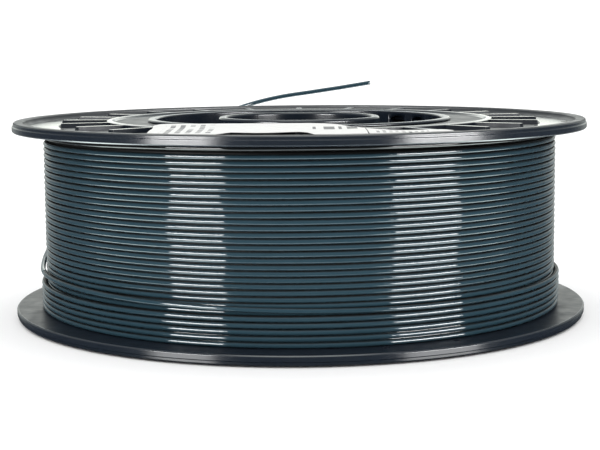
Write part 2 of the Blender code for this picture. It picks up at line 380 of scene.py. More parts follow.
def make_plastic(name, roughness, grain_depth, specular=0.5):
    """Black moulded plastic with faint flow marks and the mould's grain, fine or coarse."""
    dark = (0.0080, 0.0122, 0.0200)
    light = (0.0105, 0.0160, 0.0255)
    material, nodes, links, shader = new_material(name, dark, roughness)
    position = object_position(nodes)
    flow = noise_node(nodes, links, position, 45.0, 3.0)
    links.new(mix_colour(nodes, links, flow, dark, light), shader.inputs["Base Color"])
    patches = noise_node(nodes, links, position, 160.0, 4.0, 0.6)
    varied = map_range(nodes, links, patches, (0.3, 0.7), (roughness * 0.85, roughness * 1.2))
    links.new(varied, shader.inputs["Roughness"])
    grain = noise_node(nodes, links, position, 2600.0, 2.0)
    waves = noise_node(nodes, links, position, 90.0, 1.0)
    fine = bump(nodes, links, grain, 1.0, grain_depth)
    links.new(bump(nodes, links, waves, 0.04, 0.0002, fine), shader.inputs["Normal"])
    shader.inputs["IOR"].default_value = 1.8
    shader.inputs["Specular IOR Level"].default_value = specular
    return material


def facing_out(nodes, links):
    """How squarely a surface faces away from the spool's axis, from 0 to 1."""
    geometry = nodes.new("ShaderNodeNewGeometry")
    flat = nodes.new("ShaderNodeVectorMath")
    flat.operation = "MULTIPLY"
    flat.inputs[1].default_value = (1.0, 1.0, 0.0)
    links.new(geometry.outputs["Position"], flat.inputs[0])
    outward = nodes.new("ShaderNodeVectorMath")
    outward.operation = "NORMALIZE"
    links.new(flat.outputs[0], outward.inputs[0])
    dot = nodes.new("ShaderNodeVectorMath")
    dot.operation = "DOT_PRODUCT"
    links.new(outward.outputs[0], dot.inputs[0])
    links.new(geometry.outputs["True Normal"], dot.inputs[1])
    return dot.outputs["Value"]


def make_filament(name, is_wound):
    """Dark petrol plastic in a smooth glossy strand; on the wound strand, the grooves and top turn get
    painted shade.
    """
    deep = (0.0215, 0.0500, 0.0680)
    pale = (0.0262, 0.0590, 0.0800)
    material, nodes, links, shader = new_material(name, deep, 0.06)
    position = object_position(nodes)
    tint = noise_node(nodes, links, position, 70.0, 3.0)
    colour = mix_colour(nodes, links, tint, deep, pale)
    patches = noise_node(nodes, links, position, 260.0, 3.0, 0.6)
    gloss = map_range(nodes, links, patches, (0.3, 0.7), (0.04, 0.08))
    if is_wound:
        # Painted shade: faces turned into the grooves between turns take the groove shade colour and
        # lose their gloss
        body = map_range(nodes, links, facing_out(nodes, links), (0.50, 0.80), (0.0, 1.0))
        colour = mix_colour(nodes, links, body, GROOVE_SHADE_COLOUR, colour)
        # Painted shade: the top turn, tucked under the flange, takes the groove shade colour as the
        # flange's shadow
        height = nodes.new("ShaderNodeSeparateXYZ")
        links.new(position, height.inputs[0])
        flange_shade = map_range(nodes, links, height.outputs["Z"], SHADE_UNDER_FLANGE, (0.0, 1.0))
        colour = mix_colour(nodes, links, flange_shade, colour, GROOVE_SHADE_COLOUR)
        dull = map_range(nodes, links, body, (0.0, 1.0), (0.55, 0.0))
        gloss = math_node(nodes, links, "MAXIMUM", gloss, dull)
    links.new(colour, shader.inputs["Base Color"])
    links.new(gloss, shader.inputs["Roughness"])
    ripple = noise_node(nodes, links, position, 420.0, 2.0)
    fine = bump(nodes, links, ripple, 0.05, 0.00004)
    sway = noise_node(nodes, links, position, 150.0, 1.0)
    links.new(bump(nodes, links, sway, 0.5, 0.0003, fine), shader.inputs["Normal"])
    shader.inputs["IOR"].default_value = 1.5
    return material


def make_shaded_filament():
    """Painted shade: the same plastic in near black, where it lies deep between the outer turns."""
    material, nodes, links, shader = new_material("filament_shaded", GROOVE_SHADE_COLOUR, 0.55)
    position = object_position(nodes)
    tint = noise_node(nodes, links, position, 70.0, 3.0)
    # Painted shade: a near-black grey instead of the filament's own petrol colour
    colour = mix_colour(nodes, links, tint, (0.0060, 0.0064, 0.0070), (0.0072, 0.0076, 0.0082))
    links.new(colour, shader.inputs["Base Color"])
    links.new(bump(nodes, links, tint, 0.05, 0.00004), shader.inputs["Normal"])
    shader.inputs["Specular IOR Level"].default_value = 0.2
    return material


def box_mask(nodes, links, x, y, centre, half):
    """1 inside an upright rectangle in plan, in metres."""
    inside = []
    for value, middle, reach in ((x, centre[0], half[0]), (y, centre[1], half[1])):
        node = nodes.new("ShaderNodeMath")
        node.operation = "COMPARE"
        links.new(value, node.inputs[0])
        node.inputs[1].default_value = middle * MM
        node.inputs[2].default_value = reach * MM
        inside.append(node.outputs[0])
    return math_node(nodes, links, "MULTIPLY", inside[0], inside[1])


def text_bars(nodes, links, x, y, pitch, centre, half):
    """Rows of grey dashes that stand for printed text, without any letters.

    The rows run along Y, a pitch apart, inside a rectangle; x, y and the sizes are in millimetres."""
    row = math_node(nodes, links, "DIVIDE", x, pitch * MM)
    part = math_node(nodes, links, "FRACT", row)
    in_row = math_node(nodes, links, "LESS_THAN", part, ROW_SHARE)
    number = math_node(nodes, links, "FLOOR", row)
    along = nodes.new("ShaderNodeCombineXYZ")
    links.new(math_node(nodes, links, "MULTIPLY", number, 7.3), along.inputs["X"])
    links.new(math_node(nodes, links, "MULTIPLY", y, 330.0), along.inputs["Y"])
    words = noise_node(nodes, links, along.outputs[0], 1.0, 1.0)
    written = math_node(nodes, links, "GREATER_THAN", words, BLANK_BELOW)
    dash = math_node(nodes, links, "MULTIPLY", in_row, written)
    return math_node(nodes, links, "MULTIPLY", dash, box_mask(nodes, links, x, y, centre, half))


def make_paper(name, blocks, rows):
    """White label paper with faint fibres, printed with plain blocks and rows of dashes."""
    white = (0.58, 0.58, 0.57)
    cream = (0.63, 0.63, 0.62)
    ink = (0.06, 0.06, 0.07)
    grey_ink = (0.12, 0.12, 0.13)
    material, nodes, links, shader = new_material(name, white, 0.5)
    position = object_position(nodes)
    fibres = noise_node(nodes, links, position, 900.0, 4.0, 0.7)
    colour = mix_colour(nodes, links, fibres, white, cream)
    split = nodes.new("ShaderNodeSeparateXYZ")
    links.new(position, split.inputs[0])
    x = split.outputs["X"]
    y = split.outputs["Y"]
    for pitch, centre, half in rows:
        dashes = text_bars(nodes, links, x, y, pitch, centre, half)
        colour = mix_colour(nodes, links, dashes, colour, grey_ink)
    for centre, half in blocks:
        colour = mix_colour(nodes, links, box_mask(nodes, links, x, y, centre, half), colour, ink)
    links.new(colour, shader.inputs["Base Color"])
    links.new(bump(nodes, links, fibres, 0.2, 0.00003), shader.inputs["Normal"])
    return material


# ---------------------------------------------------------------- filament

def make_free_end(material):
    """The strand's end: up the back of the winding, out over the rim, cut off square."""
    anchors = [plan_point(radius, degrees, z) for degrees, radius, z in END_ROUTE]
    path = smooth_route(anchors, 1.5)
    mesh = tube_mesh("free_end_strand", path, STRAND_D / 2.0, 16)
    end = add_object("free_end_strand", mesh, material, 60.0)
    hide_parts("filament_free_end")


def make_first_end(material):
    """The strand's first end, hooked through a slot in the barrel and laid along its inside."""
    anchors = [plan_point(radius, degrees, z) for degrees, radius, z in START_ROUTE]
    mesh = tube_mesh("first_end_strand", smooth_route(anchors, 1.0), STRAND_D / 2.0, 12)
    end = add_object("first_end_strand", mesh, material, 60.0)
    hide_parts("filament_first_end")


# Painted shade: the near-black colour for the grooves between turns, the turns deep in them and the top
# turn
GROOVE_SHADE_COLOUR = (0.0068, 0.0070, 0.0074)
# Painted shade: above these heights the top turn is darkened, for the flange's shadow
SHADE_UNDER_FLANGE = (0.0612, 0.0620)   # metres: the top turn stays in the flange's shade

# Turns are counted where they pass the front. A strand's place is given by its unrolled angle: 360
# degrees for each turn, and 180 at the front of turn 0 of the last complete layer.
FULL_TURNS = 30                    # the last complete layer runs from turn 0 at the top to this one
PITCH = 1.94
TIGHT_PITCH = 1.80                 # under the extra turns, near the lower flange
TIGHT_FROM = 25
SECOND_TURN_Z = 60.97              # the top turn stands off from the second one
EXTRA_TURNS = 6
EXTRA_PITCH = 1.99
LOW_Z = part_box("filament_outer_layer")[0].z / MM + STRAND_D / 2.0 - 0.2
HIGH_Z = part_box("filament_outer_layer")[1].z / MM - STRAND_D / 2.0 + 0.05
LAYER_STEP = 1.65                  # usual distance between one layer's centre line and the next
OUTER_R = WOUND_R - STRAND_D / 2.0
UNDER_R = OUTER_R - LAYER_STEP
FRONT = 180.0                      # degrees from the back
LEAVE_ANGLE = END_ROUTE[0][0] + 360.0   # where the last turn becomes the free end
RUN_ON = 150.0                     # degrees that the last complete layer runs on past the front
STEP_OUT_OVER = 70.0               # degrees in which the strand steps out over its own turns
LEAVE_OVER = 110.0                 # degrees in which it eases towards the free end


def wander(turn_angle, seed, amount):
    """A slow, repeatable irregularity along the strand."""
    place = Vector((turn_angle / 55.0, seed, 0.37))
    return amount * noise.noise(place) + 0.6 * amount * noise.noise(place * 2.7)


def full_layer_z(turn_angle):
    """Height of the last complete layer, which runs down from the upper flange."""
    turn = (turn_angle - FRONT) / 360.0
    if turn < 1.0:
        z = HIGH_Z + (SECOND_TURN_Z - HIGH_Z) * max(turn, 0.0)
    elif turn < TIGHT_FROM:
        z = SECOND_TURN_Z - PITCH * (turn - 1.0)
    else:
        z = SECOND_TURN_Z - PITCH * (TIGHT_FROM - 1.0) - TIGHT_PITCH * (turn - TIGHT_FROM)
    z += wander(turn_angle, 1.5, 0.11)
    return min(max(z, LOW_Z), HIGH_Z)


def under_layer_z(turn_angle):
    """Height of the layer beneath, which runs up from the lower flange."""
    turn = (turn_angle - FRONT) / 360.0
    return min(max(LOW_Z + 0.5 + PITCH * turn + wander(turn_angle, 8.5, 0.08), LOW_Z), HIGH_Z)


def rest_radius(z, angle, layer_z, layer_radius, turn_guess):
    """Radius of a strand at height z that rests on the nearest strand of the layer below."""
    nearest = STRAND_D
    for turn in range(turn_guess - 3, turn_guess + 4):
        below = angle + 360.0 * turn
        nearest = min(nearest, abs(z - layer_z(below)))
    lift = math.sqrt(max(STRAND_D ** 2 - min(nearest, STRAND_D / 2.0) ** 2, 0.0))
    return layer_radius + lift


def full_layer_radius(turn_angle):
    """The last complete layer rides up and down over the strands beneath, which lie the other way."""
    z = full_layer_z(turn_angle)
    angle = turn_angle % 360.0
    guess = round((z - LOW_Z) / PITCH)
    return rest_radius(z, angle, under_layer_z, UNDER_R, guess)


def smoothstep(t):
    t = min(max(t, 0.0), 1.0)
    return t * t * (3.0 - 2.0 * t)


def extra_layer_z(turn_angle):
    """Height of the last few turns, which run up again and step from groove to groove at the back."""
    turn = (turn_angle - FRONT) / 360.0
    whole = round(turn)
    part = (turn - whole) * 360.0
    z = LOW_Z + EXTRA_PITCH * whole - 0.0027 * part
    z += EXTRA_PITCH * (smoothstep((part - 110.0) / 140.0) - smoothstep((-110.0 - part) / 140.0))
    return max(z + wander(turn_angle, 4.5, 0.08), LOW_Z)


def winding_path():
    """The visible strand as one line: down the last complete layer, and up again to its free end."""
    step = 360.0 / TURN_STEPS
    angles = np.arange(0.0, FRONT + 360.0 * FULL_TURNS + RUN_ON, step)
    path = []
    for turn_angle in angles:
        z = full_layer_z(turn_angle)
        radius = full_layer_radius(turn_angle)
        path.append(plan_point(radius, turn_angle, z))
    last_radius = radius
    last_z = z
    # Step out over the strand's own turns, then up to the free end
    start = (angles[-1] + step) % 360.0 - 360.0
    _, leave_radius, leave_z = END_ROUTE[0]
    end_angle = 360.0 * (EXTRA_TURNS - 1) + LEAVE_ANGLE
    turn_angle = start
    while turn_angle < end_angle - step / 2.0:
        z = extra_layer_z(turn_angle)
        guess = round((SECOND_TURN_Z - z) / PITCH) + 1
        radius = rest_radius(z, turn_angle % 360.0, full_layer_z, OUTER_R, min(guess, FULL_TURNS - 3))
        out = smoothstep((turn_angle - start) / STEP_OUT_OVER)
        leave = smoothstep((turn_angle - end_angle + LEAVE_OVER) / LEAVE_OVER)
        radius = last_radius + (radius - last_radius) * out
        z = last_z + (z - last_z) * out
        radius += (leave_radius - radius) * leave
        z += (leave_z - z) * leave
        path.append(plan_point(radius, turn_angle, z))
        turn_angle += step
    path.append(plan_point(leave_radius, LEAVE_ANGLE, leave_z))
    return path


def make_wound_strand(material):
    """The last complete layer and the turns over it, as one strand."""
    mesh = tube_mesh("wound_strand", winding_path(), STRAND_D / 2.0, STRAND_SIDES)
    strand = add_object("wound_strand", mesh, material, 60.0)
    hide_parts("filament_outer_layer", "filament_last_turns")


def make_layer_beneath(material):
    """One layer under the last complete one, which shows in its grooves."""
    step = 360.0 / (TURN_STEPS * 2 // 3)
    turns = (HIGH_Z - LOW_Z) / PITCH
    path = []
    for turn_angle in np.arange(FRONT, FRONT + 360.0 * turns, step):
        path.append(plan_point(UNDER_R, turn_angle, under_layer_z(turn_angle)))
    mesh = tube_mesh("strand_beneath", path, STRAND_D / 2.0, 8)
    add_object("strand_beneath", mesh, material, 60.0)


def make_inner_layers(material):
    """The layers that can't be seen, as one ring whose skin shows each turn as a bead."""
    outer = OUTER_R - 2.0 * LAYER_STEP
    inner = BARREL_R + GAP
    low = LOW_Z - STRAND_D / 2.0 + 0.3
    high = HIGH_Z + STRAND_D / 2.0 - 0.3
    bead = STRAND_D / 2.0
    profile = [(inner, low), (outer, low)]
    turns = int((high - low) / PITCH)
    for turn in range(turns):
        base = low + (high - low) * turn / turns
        for part in (0.25, 0.5, 0.75):
            profile.append((outer + bead * math.sin(math.pi * part), base + (high - low) / turns * part))
        profile.append((outer, base + (high - low) / turns))
    profile.append((inner, high))
    faces = grid_faces(120, len(profile), True, True)
    mesh = mesh_from_arrays("inner_winding", turned_points(profile, 120), faces)
    ring = add_object("inner_winding", mesh, material)
    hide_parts("filament_inner_layers")


# ---------------------------------------------------------------- flanges

def flange_edge(height):
    """The flange's section from its inner face round the rim, as (radius, z) with z from height."""
    return [
        (FLANGE_HOLE_R, height(INNER_FACE_DEPTH)),
        (FLANGE_R - 0.4, height(INNER_FACE_DEPTH)),
        (FLANGE_R, height(INNER_FACE_DEPTH - 0.4)),
        (FLANGE_R, height(RIM_DEPTH + 1.4)),
        (FLANGE_R - 0.4, height(RIM_DEPTH + 1.2)),
        (FLANGE_R - 0.4, height(RIM_DEPTH + 0.4)),
        (FLANGE_R - 0.8, height(RIM_DEPTH)),
        (RIM_IN_R + 0.4, height(RIM_DEPTH)),
        (RIM_IN_R, height(RIM_DEPTH + 0.3)),
    ] + rim_foot(height) + [(RIB_END_R + 0.6, height(FLOOR_DEPTH))]


def rim_foot(height):
    """The hollow fillet between the rim's inner wall and the floor."""
    rise = FLOOR_DEPTH - RIM_DEPTH - 0.45
    points = []
    for step in range(7):
        angle = math.radians(90.0 * step / 6.0)
        radius = RIM_IN_R - 0.1 - RIM_FOOT_R * (1.0 - math.cos(angle))
        points.append((radius, height(FLOOR_DEPTH - rise * (1.0 - math.sin(angle)))))
    return points


def rib_stations():
    """Radii across the ribbed floor, from outside in, with the rib's share of height at each."""
    return [
        (RIB_END_R + 0.3, 0.0),
        (RIB_END_R, 0.02),
        (RIB_END_R - 0.12, 0.5),
        (RIB_END_R - 0.3, 0.95),
        (RIB_END_R - 0.5, 1.0),
        (78.0, 1.0),
        (72.5, 1.0),
        (RING_OUT_R + 0.2, 1.0),
        (RING_OUT_R, 1.0),
    ]


def rib_share(across):
    """A rib's height, from 1 on top to 0 on the floor, at a distance from its centre line."""
    beyond = (abs(across) - RIB_HALF_WIDTH) / RIB_DRAFT
    return 1.0 - smoothstep(beyond + 0.5)


def flange_angles():
    """Angles round the flange, closer together at each rib's flanks."""
    spacing = 360.0 / RIB_COUNT
    offsets = []
    for across in (0.0, 0.6, 0.95, 1.08, 1.15, 1.22, 1.35, 1.6):
        offsets.append(math.degrees(across / RIB_MIDDLE_R))
    offsets += [2.2, 3.4, 4.8, 6.2]
    around = sorted({-o for o in offsets} | set(offsets)) + [spacing / 2.0]
    return [rib * spacing + offset for rib in range(RIB_COUNT) for offset in around]


def make_flange(name, node, upward, hole_angles, finishes):
    """A flange with 24 radial ribs on the recessed floor of its outer face."""
    def height(depth):
        return WIDTH - depth if upward else depth
    edge = rounded(flange_edge(height), 0.12)[2:]
    inner = [
        (RING_OUT_R, RIB_DEPTH),
        (RING_OUT_R - 0.35, RIB_DEPTH - 0.14),
        (RING_OUT_R - 0.8, RIB_DEPTH - 0.25),
        (0.5 * (RING_OUT_R + RING_IN_R) + 0.1, RIB_DEPTH - 0.3),
        (RING_IN_R + 1.0, RIB_DEPTH - 0.25),
        (RING_IN_R + 0.7, RIB_DEPTH - 0.14),
        (RING_IN_R + 0.45, RIB_DEPTH + 0.08),
        (RING_IN_R + 0.1, WEB_DEPTH - 0.08),
        (RING_IN_R - 0.1, WEB_DEPTH),
        (RING_IN_R - 0.4, WEB_DEPTH),
        (58.0, WEB_DEPTH),
        (FLANGE_HOLE_R + 0.3, WEB_DEPTH),
        (FLANGE_HOLE_R + 0.05, WEB_DEPTH + 0.05),
        (FLANGE_HOLE_R, WEB_DEPTH + 0.3),
    ]
    start = (FLANGE_HOLE_R, height(INNER_FACE_DEPTH - 0.3))
    angles = flange_angles()
    spacing = 360.0 / RIB_COUNT
    points = []
    for degrees in angles:
        from_rib = (degrees + spacing / 2.0) % spacing - spacing / 2.0
        column = [start] + list(edge)
        for radius, share in rib_stations():
            across = math.radians(from_rib) * RIB_MIDDLE_R
            rib = share * rib_share(across)
            column.append((radius, height(FLOOR_DEPTH + (RIB_DEPTH - FLOOR_DEPTH) * rib)))
        column += [(radius, height(depth)) for radius, depth in inner]
        points += [plan_point(radius, degrees, z) for radius, z in column]
    rows = len(angles)
    faces = grid_faces(rows, len(points) // rows, True, True)
    if not upward:
        faces = [face[::-1] for face in faces]
    mesh = mesh_from_arrays(name, [tuple(p) for p in points], faces)
    flange = add_object(name, mesh, finishes[0], 40.0)
    for finish in finishes[1:]:
        mesh.materials.append(finish)
    cut(flange, [hole_cutter(hole_angle, height) for hole_angle in hole_angles])
    for face in flange.data.polygons:
        face.material_index = flange_finish(face.center / MM, height)
    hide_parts(node)


def flange_finish(point, height):
    """Which of the flange's finishes a face has: 0 for smooth, 1 for textured, 2 for matt."""
    radius = math.hypot(point.x, point.y)
    if FLANGE_HOLE_R + 0.4 < radius < RING_IN_R and abs(point.z - height(WEB_DEPTH)) < 0.05:
        return 1
    if RING_OUT_R < radius < RIB_END_R + 0.2:
        if abs(point.z - height(FLOOR_DEPTH)) < 0.05:
            return 1
        if abs(point.z - height(RIB_DEPTH)) > 0.1:
            return 2
    if radius < FLANGE_R - 1.0 and abs(point.z - height(INNER_FACE_DEPTH)) < 0.05:
        return 2
    is_above_floor = abs(point.z - height(INNER_FACE_DEPTH)) > 0.5
    if RIM_IN_R - 2.5 < radius < FLANGE_R - 0.6 and is_above_floor:
        return 1
    return 0


def hole_cutter(degrees, height):
    """A round cutter right through the flange, for a hole that holds the filament's end."""
    outline = []
    for step in range(24):
        angle = math.radians(360.0 * step / 24.0)
        outline.append((STRAND_HOLE_R * math.cos(angle), STRAND_HOLE_R * math.sin(angle)))
    middle = plan_point(STRAND_HOLE_AT_R, degrees, height(INNER_FACE_DEPTH / 2.0))
    reach = INNER_FACE_DEPTH + 0.2
    return prism_object("hole_cutter", outline, -reach, reach, Matrix.Translation(middle))


# ---------------------------------------------------------------- barrel and hub

def height_upper(depth):
    return WIDTH - depth


def height_lower(depth):
    return depth


def barrel_end(height):
    return [
        (BARREL_IN_R, height(BARREL_END_DEPTH + 0.4)),
        (BARREL_IN_R + 0.4, height(BARREL_END_DEPTH)),
        (BARREL_LIP_R - 0.5, height(BARREL_END_DEPTH)),
        (BARREL_LIP_R, height(BARREL_END_DEPTH + 0.4)),
        (BARREL_LIP_R, height(WEB_DEPTH - GAP)),
        (BARREL_NECK_R, height(WEB_DEPTH - GAP)),
        (BARREL_NECK_R, height(INNER_FACE_DEPTH + GAP)),
        (BARREL_R, height(INNER_FACE_DEPTH + GAP)),
    ]


def prism_object(name, outline, low, high, placement):
    """A cutter: a plan outline carried from low to high, then placed."""
    count = len(outline)
    points = [placement @ Vector((x, y, low)) for x, y in outline]
    points += [placement @ Vector((x, y, high)) for x, y in outline]
    faces = [tuple(range(count))[::-1], tuple(range(count, 2 * count))]
    for i in range(count):
        j = (i + 1) % count
        faces.append((i, j, j + count, i + count))
    mesh = mesh_from_arrays(name, [tuple(p) for p in points], faces)
    cutter = bpy.data.objects.new(name, mesh)
    bpy.context.scene.collection.objects.link(cutter)
    return cutter


def cut(obj, cutters):
    """Cut the cutters out of an object's mesh, and remove them."""
    for cutter in cutters:
        modifier = obj.modifiers.new("cut", "BOOLEAN")
        modifier.operation = "DIFFERENCE"
        modifier.solver = "EXACT"
        modifier.object = cutter
    apply_modifiers(obj)
    for cutter in cutters:
        bpy.data.objects.remove(cutter, do_unlink=True)


def apply_modifiers(obj):
    """Replace an object's mesh by the mesh that its modifiers make."""
    bpy.context.view_layer.update()
    evaluated = obj.evaluated_get(bpy.context.evaluated_depsgraph_get())
    mesh = bpy.data.meshes.new_from_object(evaluated)
    obj.modifiers.clear()
    obj.data = mesh


def anchor_cutter(degrees):
    """An arched slot through the barrel's wall."""
    half = ANCHOR_WIDTH / 2.0
    shallow, deep = ANCHOR_DEPTHS
    arch = [(-half, WIDTH - deep), (half, WIDTH - deep)]
    for step in range(13):
        angle = math.pi * step / 12.0
        arch.append((half * math.cos(angle), WIDTH - shallow - half * 0.5 * (1.0 - math.sin(angle))))
    stand_up = Matrix.Rotation(math.radians(90), 4, "X")
    turn = Matrix.Rotation(math.radians(-degrees), 4, "Z")
    return prism_object("anchor_cutter", arch, -(BARREL_R + 2.0), -(BARREL_IN_R - 1.2), turn @ stand_up)


def make_barrel(material):
    middle = WIDTH / 2.0
    ledge = [
        (BARREL_IN_R, middle - LEDGE_THICKNESS / 2.0),
        (LEDGE_R, middle - LEDGE_THICKNESS / 2.0),
        (LEDGE_R, middle + LEDGE_THICKNESS / 2.0),
        (BARREL_IN_R, middle + LEDGE_THICKNESS / 2.0),
    ]
    profile = barrel_end(height_upper) + barrel_end(height_lower)[::-1] + ledge
    barrel = turned("winding_barrel", profile, 240, material, 0.45)
    cut(barrel, [anchor_cutter(degrees) for degrees in ANCHOR_ANGLES])
    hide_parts("core_barrel")


def hub_half_profile(height, is_socket):
    middle = WIDTH / 2.0
    web_near = middle - LEDGE_THICKNESS / 2.0 - GAP
    web_far = web_near - HUB_WEB_THICKNESS
    meeting = middle - GAP / 2.0
    outside = [
        (BORE_R, height(0.6)),
        (BORE_R + 0.6, height(0.0)),
        (HUB_OUT_R - 0.6, height(0.0)),
        (HUB_OUT_R, height(0.6)),
        (HUB_OUT_R, height(web_far)),
        (HUB_WEB_R, height(web_far)),
        (HUB_WEB_R, height(web_near)),
        (HUB_OUT_R, height(web_near)),
        (HUB_OUT_R, height(meeting)),
    ]
    if is_socket:
        return outside + [
            (SPIGOT_R + GAP, height(meeting)),
            (SPIGOT_R + GAP, height(meeting - SPIGOT_LENGTH - GAP)),
            (BORE_R, height(meeting - SPIGOT_LENGTH - GAP)),
        ]
    return outside + [
        (SPIGOT_R, height(meeting)),
        (SPIGOT_R, height(meeting + SPIGOT_LENGTH)),
        (BORE_R, height(meeting + SPIGOT_LENGTH)),
    ]


def spoke_window(number):
    """The opening between two spokes, with both sides parallel to its spokes."""
    inner, outer = SPOKE_WINDOW_RADII
    sector = 360.0 / SPOKES
    middle = (number + 0.5) * sector
    outline = []
    steps = 11
    for radius, direction in ((inner, 1), (outer, -1)):
        half = sector / 2.0 - math.degrees(math.asin(SPOKE_WIDTH / 2.0 / radius))
        for step in range(steps + 1):
            point = plan_point(radius, middle + half * (2.0 * step / steps - 1.0) * direction, 0.0)
            outline.append((point.x, point.y))
    middle_z = WIDTH / 2.0
    reach = 8.0
    return prism_object("window_cutter", outline, middle_z - reach, middle_z + reach, Matrix.Identity(4))


def make_hub_half(name, node, height, is_socket, material):
    profile = hub_half_profile(height, is_socket)
    half = turned(name, profile, 180, material, 0.45)
    cut(half, [spoke_window(number) for number in range(SPOKES)])
    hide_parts(node)


# ---------------------------------------------------------------- labels

def arc_points(radius, x_from, x_to, steps):
    """Points on the front of a circle about the spool's axis, from one x to another."""
    start = math.asin(x_from / radius)
    end = math.asin(x_to / radius)
    points = []
    for step in range(steps + 1):
        angle = start + (end - start) * step / steps
        points.append((radius * math.sin(angle), -radius * math.cos(angle)))
    return points


def product_label_outline():
    """A straight far edge, a rounded left corner and a notch in the outer edge."""
    outline = [(3.5, -52.0)]
    centre_x = LABEL_LEFT + LABEL_CORNER_R
    centre_y = LABEL_FAR_Y - LABEL_CORNER_R
    for step in range(13):
        angle = math.radians(90.0 + 90.0 * step / 12.0)
        outline.append((centre_x + LABEL_CORNER_R * math.cos(angle),
                        centre_y + LABEL_CORNER_R * math.sin(angle)))
    outline += arc_points(LABEL_OUT_R, LABEL_LEFT + 0.6, -24.5, 12)
    outline += [(-22.5, -87.3), (-20.5, -84.5), (0.5, -84.5), (2.5, -87.3)]
    outline += arc_points(LABEL_OUT_R, 4.5, LABEL_SPLIT - GAP, 8)
    outline += [(LABEL_SPLIT - GAP, -67.5), (17.0, -61.5), (12.0, -56.6)]
    return outline


def lot_sticker_outline():
    """A slanted corner next to the product label, and an outer edge that follows the rim."""
    outline = [(LABEL_SPLIT, -69.0), (23.0, -72.0), (28.0, -77.0), (44.0, -77.5), (LABEL_RIGHT, -80.0)]
    return outline + arc_points(LABEL_OUT_R, LABEL_RIGHT, LABEL_SPLIT, 16)


def label_sag(x, y):
    """How far the paper sinks between two ribs and past their ends, less its lift over the bead."""
    degrees = math.degrees(math.atan2(x, y))
    between = math.sin(math.pi * degrees / (360.0 / RIB_COUNT)) ** 2
    radius = math.hypot(x, y)
    past_end = smoothstep((radius - RIB_END_R) / (LABEL_OUT_R - RIB_END_R))
    on_ribs = smoothstep((radius - RING_OUT_R) / 4.0)
    lift = LABEL_LIFT * smoothstep((y + 62.0) / 8.0)
    return LABEL_SAG * max(between * on_ribs, 0.8 * past_end) - lift


def make_label(name, node, outline, material):
    """A sheet of paper with this outline in plan, lying over the ribs."""
    bm = bmesh.new()
    bm.faces.new([bm.verts.new((x, y, 0.0)) for x, y in outline])
    for axis in (0, 1):
        for step in range(-48, 49):
            point = [0.0, 0.0, 0.0]
            normal = [0.0, 0.0, 0.0]
            point[axis] = step * 2.0
            normal[axis] = 1.0
            everything = bm.verts[:] + bm.edges[:] + bm.faces[:]
            bmesh.ops.bisect_plane(bm, geom=everything, plane_co=point, plane_no=normal, dist=1e-4)
    bmesh.ops.triangulate(bm, faces=bm.faces[:])
    bmesh.ops.recalc_face_normals(bm, faces=bm.faces[:])
    if sum(face.normal.z for face in bm.faces) < 0.0:
        bmesh.ops.reverse_faces(bm, faces=bm.faces[:])
    sheet = bm.faces[:]
    copied = bmesh.ops.duplicate(bm, geom=bm.verts[:] + bm.edges[:] + sheet)["geom"]
    under = [item for item in copied if isinstance(item, bmesh.types.BMFace)]
    bmesh.ops.reverse_faces(bm, faces=under)
    low = {vert for face in under for vert in face.verts}
    for vert in bm.verts:
        surface = LABEL_TOP - 0.02 - label_sag(vert.co.x, vert.co.y)
        vert.co.z = surface - (PAPER if vert in low else 0.0)
    edges = [edge for edge in bm.edges if edge.is_boundary]
    bmesh.ops.bridge_loops(bm, edges=edges)
    bmesh.ops.scale(bm, vec=(MM, MM, MM), verts=bm.verts[:])
    mesh = bpy.data.meshes.new(name)
    bm.to_mesh(mesh)
    bm.free()
    label = add_object(name, mesh, material)
    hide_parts(node)


def make_labels():
    """The product label carries plain blocks and rows of dashes in place of its print, the lot sticker
    rows of dashes.
    """
    blocks = []
    for centre_x, half in ((4.6, 0.5), (9.2, 1.7), (12.6, 0.5), (16.3, 1.6)):
        blocks.append(((centre_x, -66.0), (half, 5.0)))
    rows = [(3.1, (-33.6, -71.0), (8.3, 15.0))]
    make_label("product_label_sheet", "product_label", product_label_outline(),
               make_paper("label_paper", blocks, rows))
    rows = [(1.9, (30.5, -85.0), (8.0, 4.0))]
    make_label("lot_sticker_sheet", "lot_sticker", lot_sticker_outline(),
               make_paper("sticker_paper", [], rows))


# ---------------------------------------------------------------- stage

DOME = 1.5                         # radiance of the white room, which also lights the floor


def make_floor():
    """A plain white floor."""
    bm = bmesh.new()
    bmesh.ops.create_grid(bm, x_segments=1, y_segments=1, size=8.0)
    mesh = bpy.data.meshes.new("floor")
    bm.to_mesh(mesh)
    bm.free()
    material, _, _, shader = new_material("floor", (0.93, 0.93, 0.93), 1.0)
    shader.inputs["Specular IOR Level"].default_value = 0.0
    mesh.materials.append(material)
    floor = bpy.data.objects.new("floor", mesh)
    bpy.context.scene.collection.objects.link(floor)
    floor.visible_glossy = False


def make_contact_shade(material):
    """A dark disc just under the floor: painted shade that only the spool's lower edges see in
    reflection.
    """
    bm = bmesh.new()
    bmesh.ops.create_circle(bm, cap_ends=True, segments=96, radius=(FLANGE_R + 4.0) * MM)
    bmesh.ops.translate(bm, vec=(0.0, 0.0, -0.1 * MM), verts=bm.verts[:])
    mesh = bpy.data.meshes.new("contact_shade")
    bm.to_mesh(mesh)
    bm.free()
    mesh.materials.append(material)
    shade = bpy.data.objects.new("contact_shade", mesh)
    bpy.context.scene.collection.objects.link(shade)
    shade.visible_camera = False
    shade.visible_diffuse = False
    shade.visible_shadow = False


